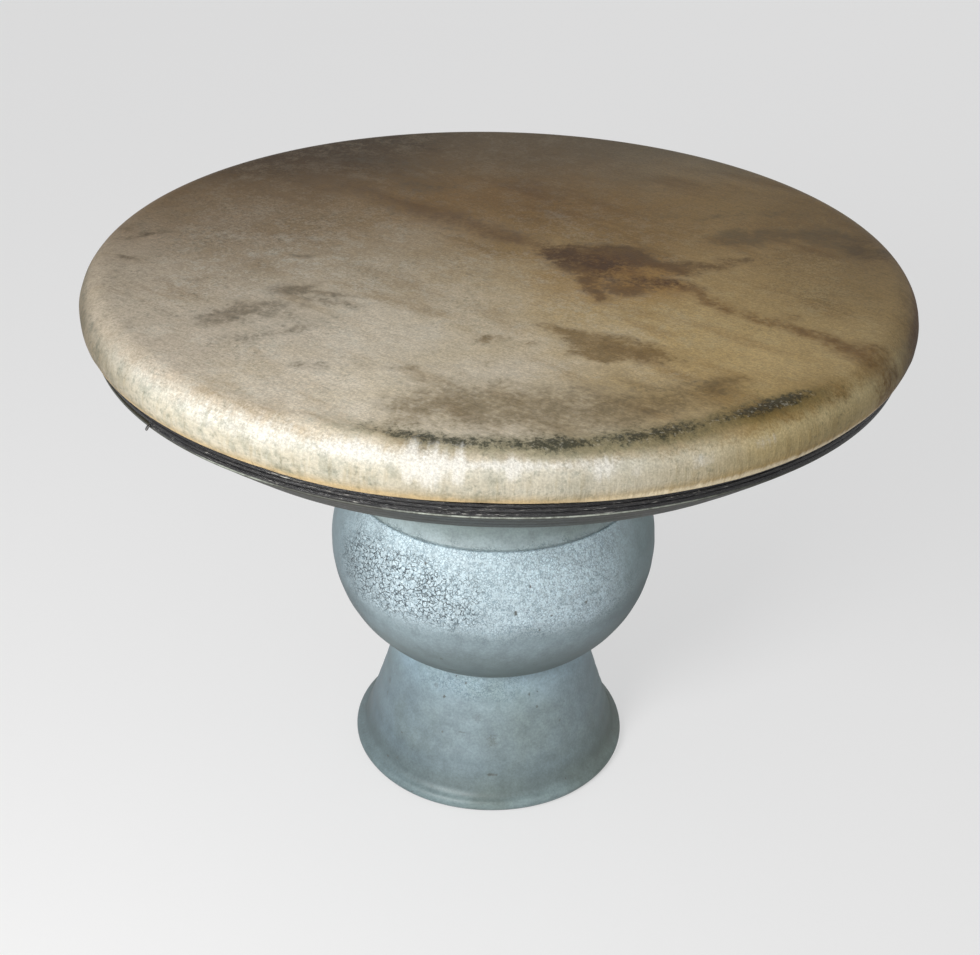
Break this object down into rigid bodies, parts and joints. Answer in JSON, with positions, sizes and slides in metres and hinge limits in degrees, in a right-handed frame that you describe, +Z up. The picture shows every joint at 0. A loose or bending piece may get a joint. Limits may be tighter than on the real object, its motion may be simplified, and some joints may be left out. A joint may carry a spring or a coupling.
{
  "type": "skin-headed ceramic hand drum",
  "caption": "Ceramic hand drum with a wide shallow bowl on a round chamber and a flared open foot, headed with goatskin that is glued and bound by black waxed cord.",
  "frame": {"origin": "on the floor at the centre of the foot", "axes": "+Z up along the drum's axis, from the foot to the playing face"},
  "size_m": [0.356, 0.356, 0.257],
  "materials": {
    "foot_glaze": "matte blue-grey crackle glaze",
    "bulb_glaze": "matte blue-grey crackle glaze with dark crawl lines",
    "bowl_glaze": "matte grey-green glaze",
    "goatskin": "scraped translucent goatskin, fine fibre speckle, brown spine stripe",
    "glue": "dried hide glue",
    "waxed_cord": "black waxed cord, satin"
  },
  "bodies": {
    "root": {"clay_foot": "foot_glaze", "clay_bulb": "bulb_glaze", "clay_bowl": "bowl_glaze", "goatskin_head": "goatskin", "skin_glue_line": "glue", "binding_cord": "waxed_cord", "binding_knots": "waxed_cord"}
  },
  "joints": []
}
